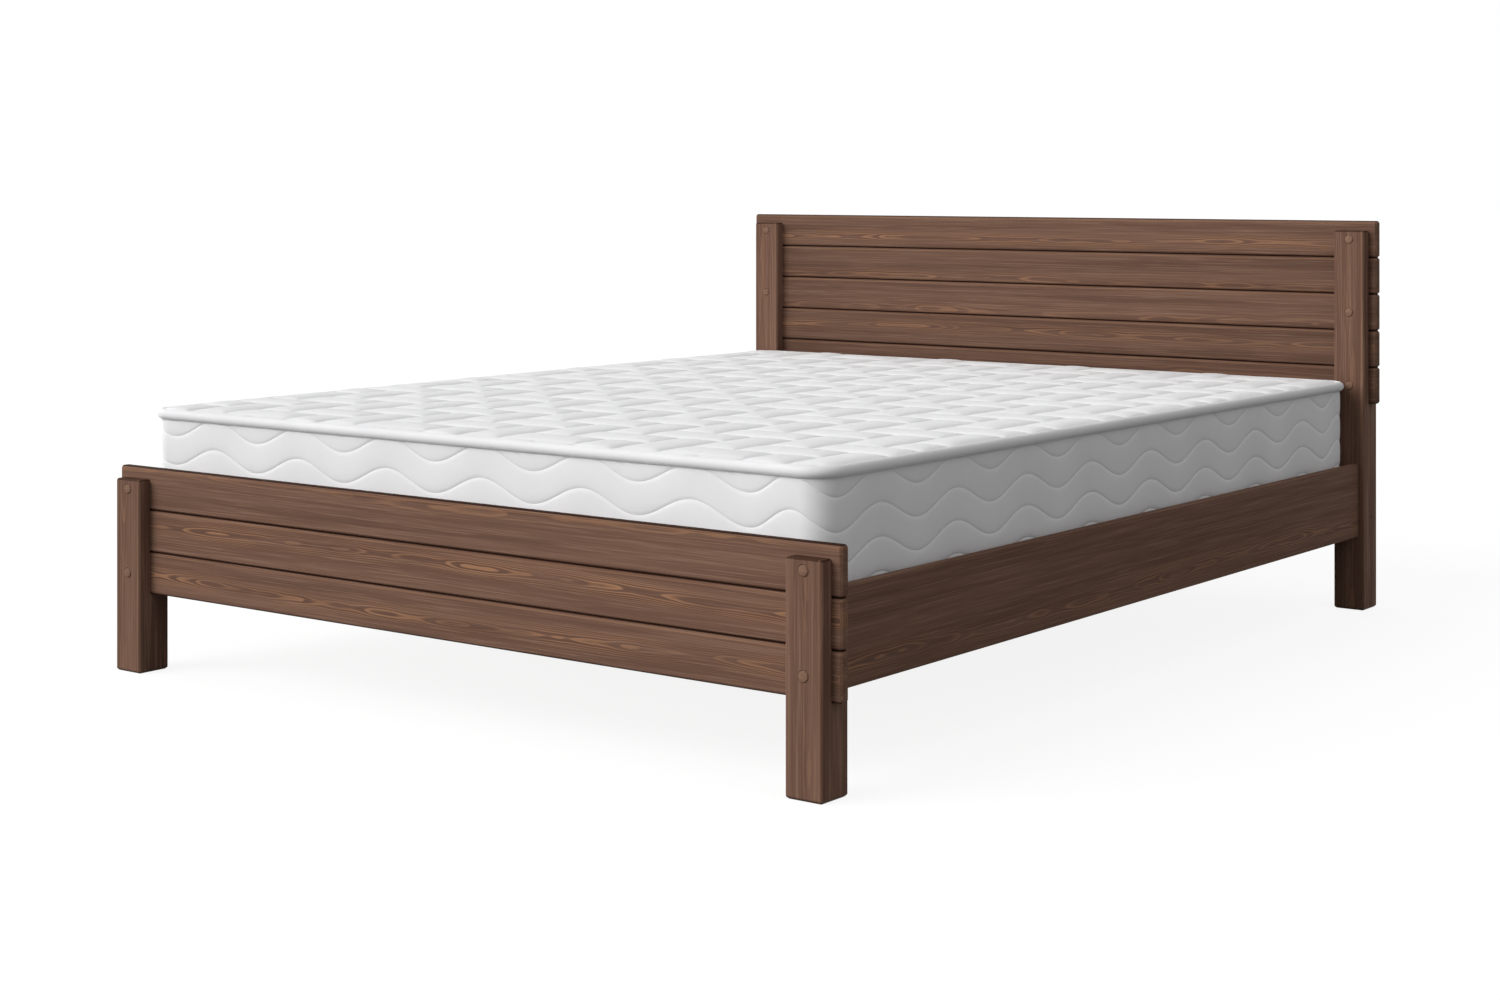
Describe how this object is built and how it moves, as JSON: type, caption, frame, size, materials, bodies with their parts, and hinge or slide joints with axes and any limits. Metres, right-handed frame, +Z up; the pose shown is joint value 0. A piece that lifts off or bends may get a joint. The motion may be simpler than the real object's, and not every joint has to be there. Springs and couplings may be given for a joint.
{
  "type": "double bed with mattress",
  "caption": "Low double bed of stained pine: square legs, plank headboard and footboard with overhanging boards, slatted base, and a quilted spring mattress.",
  "frame": {"origin": "on the floor under the middle of the bed", "axes": "+X to the right as seen from the foot, +Y towards the headboard, +Z up"},
  "size_m": [1.692, 2.1216, 0.85],
  "materials": {
    "stained_pine": "brown stain under matt lacquer, grain showing",
    "natural_pine": "planed, unfinished",
    "beech": "ribbed dowel, unfinished",
    "zinc_steel": "bright zinc plated",
    "quilted_cover": "white knitted cover, quilted",
    "piping": "white woven tape edge",
    "filling": "springs and felt, not seen",
    "webbing": "woven polyester tape"
  },
  "bodies": {
    "frame": {"beam_hanger_foot": "zinc_steel", "beam_hanger_head": "zinc_steel", "bracket_screws": "zinc_steel", "centre_beam": "natural_pine", "centre_leg": "natural_pine", "centre_leg_stud": "zinc_steel", "cross_rail_dowels": "beech", "cross_rail_screws": "zinc_steel", "foot_board_1": "stained_pine", "foot_board_2": "stained_pine", "foot_board_3": "stained_pine", "foot_bracket_left": "zinc_steel", "foot_bracket_right": "zinc_steel", "foot_leg_left": "stained_pine", "foot_leg_right": "stained_pine", "foot_plugs": "stained_pine", "hanger_screws": "zinc_steel", "head_board_1": "stained_pine", "head_board_2": "stained_pine", "head_board_3": "stained_pine", "head_board_4": "stained_pine", "head_board_5": "stained_pine", "head_bracket_left": "zinc_steel", "head_bracket_right": "zinc_steel", "head_cross_rail": "stained_pine", "head_leg_left": "stained_pine", "head_leg_right": "stained_pine", "head_plugs": "stained_pine", "ledger_left": "natural_pine", "ledger_right": "natural_pine", "ledger_screws": "zinc_steel", "levelling_foot": "zinc_steel", "panel_screws": "zinc_steel", "side_rail_left": "stained_pine", "side_rail_right": "stained_pine", "slat_01": "natural_pine", "slat_02": "natural_pine", "slat_03": "natural_pine", "slat_04": "natural_pine", "slat_05": "natural_pine", "slat_06": "natural_pine", "slat_07": "natural_pine", "slat_08": "natural_pine", "slat_09": "natural_pine", "slat_10": "natural_pine", "slat_11": "natural_pine", "slat_12": "natural_pine", "slat_13": "natural_pine", "slat_14": "natural_pine", "slat_screws": "zinc_steel", "slat_tape_left": "webbing", "slat_tape_right": "webbing"},
    "mattress": {"mattress_border": "quilted_cover", "mattress_bottom_panel": "quilted_cover", "mattress_bottom_piping": "piping", "mattress_core": "filling", "mattress_top_panel": "quilted_cover", "mattress_top_piping": "piping"}
  },
  "joints": [
    {"name": "mattress_lift", "type": "slide", "parent": "frame", "child": "mattress", "axis": [0, 0, 1], "range_m": [0, 0.3]}
  ]
}
